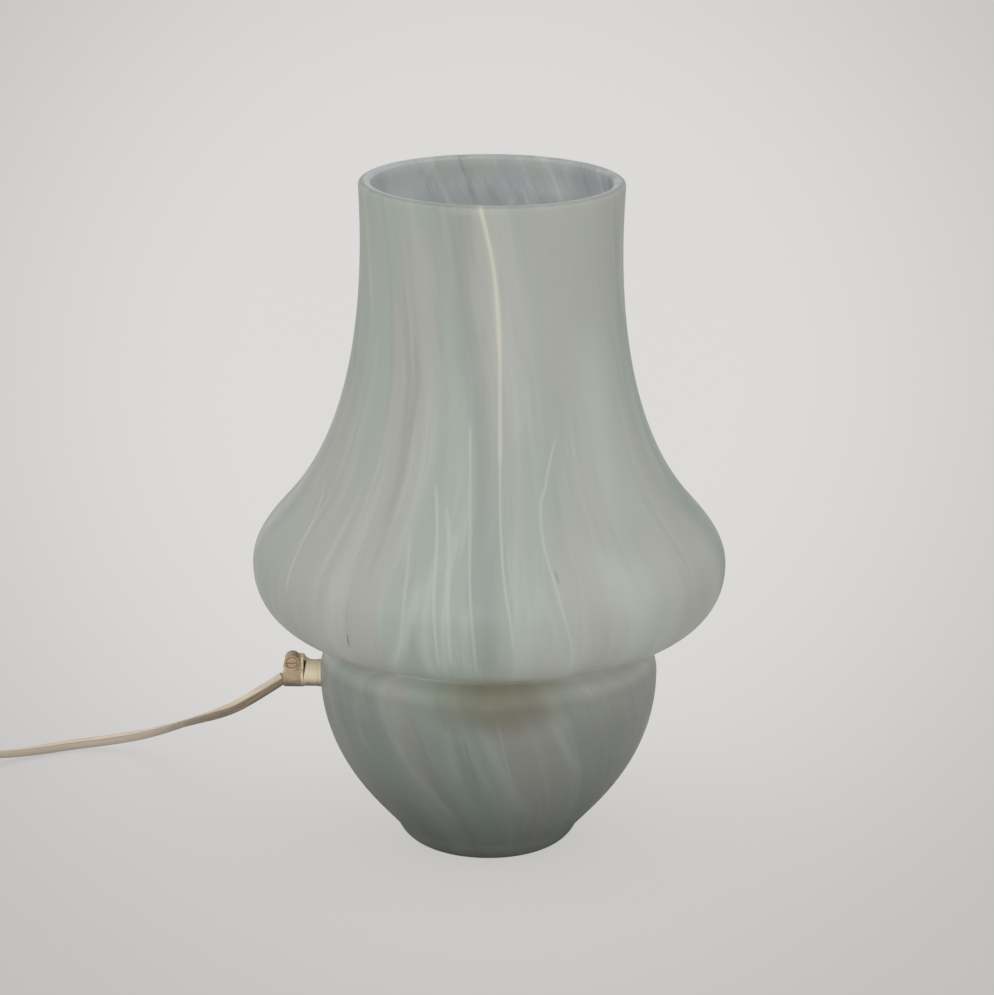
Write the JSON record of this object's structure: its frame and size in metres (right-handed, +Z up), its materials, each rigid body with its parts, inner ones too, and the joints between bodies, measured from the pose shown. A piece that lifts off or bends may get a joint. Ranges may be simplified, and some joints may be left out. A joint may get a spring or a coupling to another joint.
{
  "type": "mushroom table lamp",
  "caption": "Blown glass table lamp with base, shade and open chimney in one piece, side-entry flex with cord grip, inline rocker switch and flat plug.",
  "frame": {"origin": "middle of the glass foot, on the table", "axes": "+Z up along the lamp's axis, the flex leaves towards -X, the pictured front faces -Y"},
  "size_m": [0.4496, 0.2884, 0.3021],
  "materials": {
    "satin_glass": "satin-frosted blown glass with milky streaks",
    "beige_plastic": "moulded, slightly worn",
    "flex_pvc": "soft cream flex",
    "core_pvc": "core insulation",
    "brass": "dull turned brass",
    "plated_steel": "zinc-plated strip",
    "rubber": "washer rubber",
    "bakelite": "brown moulded lampholder",
    "porcelain": "glazed insulating core",
    "opal_glass": "opal coated bulb",
    "bulb_metal": "thin rolled cap",
    "black_glass": "insulating glass",
    "switch_plastic": "moulded shell",
    "rocker_plastic": "moulded rocker"
  },
  "bodies": {
    "root": {"glass_bowl": "satin_glass", "glass_brim": "satin_glass", "glass_shade": "satin_glass", "glass_chimney": "satin_glass", "outer_washer": "beige_plastic", "inner_washer": "rubber", "outlet_tube": "brass", "outlet_nut": "brass", "cord_grip": "beige_plastic", "cord_grip_screw": "brass", "cord_grip_nut": "brass", "bracket": "plated_steel", "holder_tube": "brass", "holder_nut": "brass", "holder_cap": "bakelite", "holder_skirt": "bakelite", "holder_core": "porcelain", "screw_sleeve": "brass", "centre_contact": "brass", "terminal_screws": "brass", "inner_lead": "flex_pvc", "inner_cores": "core_pvc", "cord_lead": "flex_pvc", "cord_tail": "flex_pvc", "cord_coil": "flex_pvc", "cord_end": "flex_pvc", "switch_base": "switch_plastic", "switch_cover": "switch_plastic", "switch_terminals": "brass", "switch_cores": "core_pvc", "switch_screws": "plated_steel", "plug_body": "switch_plastic", "plug_pins": "brass"},
    "bulb": {"bulb_globe": "opal_glass", "bulb_cap": "bulb_metal", "bulb_insulator": "black_glass", "bulb_tip": "bulb_metal"},
    "rocker": {"switch_rocker": "rocker_plastic", "rocker_bridge": "brass"}
  },
  "joints": [
    {"name": "bulb_out", "type": "slide", "parent": "root", "child": "bulb", "axis": [0, 0, 1], "range_m": [0, 0.23]},
    {"name": "switch_rocker_tilt", "type": "hinge", "parent": "root", "child": "rocker", "pos_m": [-0.276, 0.068, 0.012], "axis": [0.4695, -0.8829, 0], "range_deg": [0, 16]}
  ]
}
